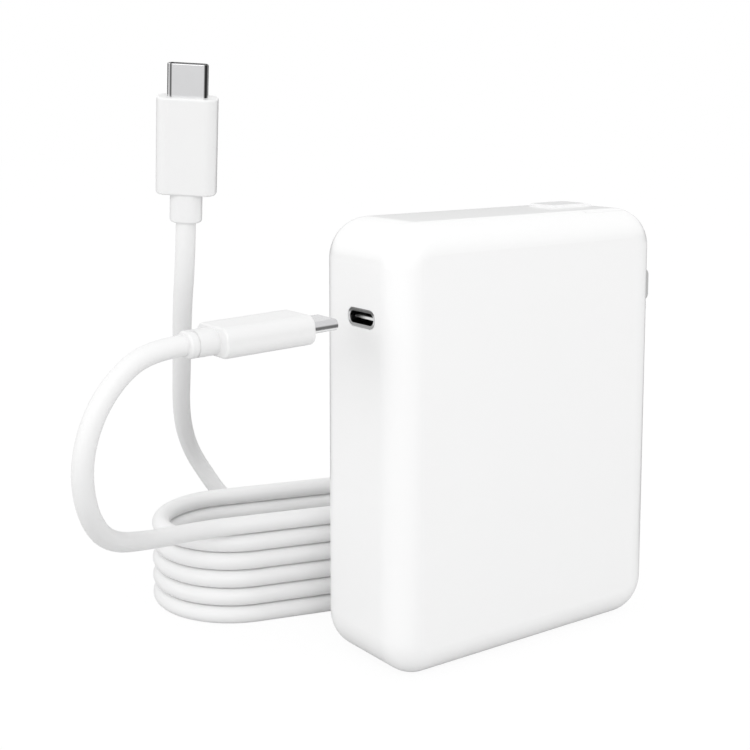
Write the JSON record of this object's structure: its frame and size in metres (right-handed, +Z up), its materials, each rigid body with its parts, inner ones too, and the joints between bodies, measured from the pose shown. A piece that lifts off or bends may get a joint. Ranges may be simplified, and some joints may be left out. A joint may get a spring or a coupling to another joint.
{
  "type": "laptop power adapter",
  "caption": "White wall-brick laptop power adapter with a lift-off folding-blade plug head, a charging socket and its coiled charging cable.",
  "frame": {"origin": "middle of the flat underside of the brick, on the surface that it stands on", "axes": "+Z up along the brick's height; +X along its width, from the side with the charging socket to the side with the folding plug; -Y out of the broad front face, and +Y out of the back, where the cable lies coiled"},
  "size_m": [0.1418, 0.0952, 0.1285],
  "materials": {
    "housing": "white moulded polycarbonate with a soft gloss",
    "carrier": "light grey moulded plastic",
    "plated_steel": "nickel-plated",
    "blade_metal": "nickel-plated brass, polished",
    "contact_brass": "plain brass",
    "contact_gold": "thin gold plate",
    "connector_shell": "satin stainless steel",
    "connector_insulator": "black moulded plastic",
    "board": "green solder mask",
    "chip_body": "black moulded epoxy",
    "insulating_sheet": "translucent polyester sheet",
    "bare_aluminium": "rolled sheet",
    "thermal_pad": "soft filled silicone",
    "ferrite": "sintered ferrite",
    "bobbin_plastic": "moulded bobbin plastic",
    "copper_wire": "enamelled copper wire",
    "capacitor_can": "sleeved aluminium can",
    "film_case": "yellow moulded case",
    "fuse_glass": "clear tube",
    "wire_insulation": "stranded wire in insulation",
    "cable_jacket": "white flexible jacket, soft sheen",
    "plug_body": "white moulded body, soft gloss"
  },
  "bodies": {
    "root": {"front_tray": "housing", "back_cover": "housing", "inlet_pins": "plated_steel", "lock_post": "plated_steel", "socket_shell": "connector_shell", "socket_tongue": "connector_insulator", "socket_contacts": "contact_gold", "main_board": "board", "port_board": "board", "charge_controller": "chip_body", "front_insulator": "insulating_sheet", "heat_spreader": "bare_aluminium", "back_insulator": "insulating_sheet", "thermal_pad": "thermal_pad", "transformer_core": "ferrite", "transformer_bobbin": "bobbin_plastic", "transformer_winding": "copper_wire", "line_choke_core": "ferrite", "line_choke_windings": "copper_wire", "boost_choke_core": "ferrite", "boost_choke_winding": "copper_wire", "bulk_capacitors": "capacitor_can", "output_capacitors": "capacitor_can", "film_capacitor": "film_case", "power_transistors": "chip_body", "control_chips": "chip_body", "rectifier_bridge": "chip_body", "fuse": "fuse_glass", "line_leads": "wire_insulation", "cable_lead": "cable_jacket", "cable_coil": "cable_jacket", "cable_riser": "cable_jacket", "port_plug_shell": "connector_shell", "port_plug_insulator": "connector_insulator", "port_plug_contacts": "contact_gold", "port_plug_overmould": "plug_body", "port_plug_strain_relief": "plug_body", "laptop_plug_shell": "connector_shell", "laptop_plug_insulator": "connector_insulator", "laptop_plug_contacts": "contact_gold", "laptop_plug_overmould": "plug_body", "laptop_plug_strain_relief": "plug_body"},
    "plug_head": {"head_shell": "housing", "head_slide_base": "housing", "head_contact_sleeves": "contact_brass", "head_contact_springs": "contact_brass"},
    "blades": {"blade_carrier": "carrier", "plug_blades": "blade_metal", "carrier_stub_pins": "plated_steel"}
  },
  "joints": [
    {"name": "plug_head_slide", "type": "slide", "parent": "root", "child": "plug_head", "axis": [0, 0, 1], "range_m": [0, 0.044]},
    {"name": "blade_fold", "type": "hinge", "parent": "plug_head", "child": "blades", "pos_m": [0.03625, 0, 0.07755], "axis": [0, -1, 0], "range_deg": [0, 90]}
  ]
}
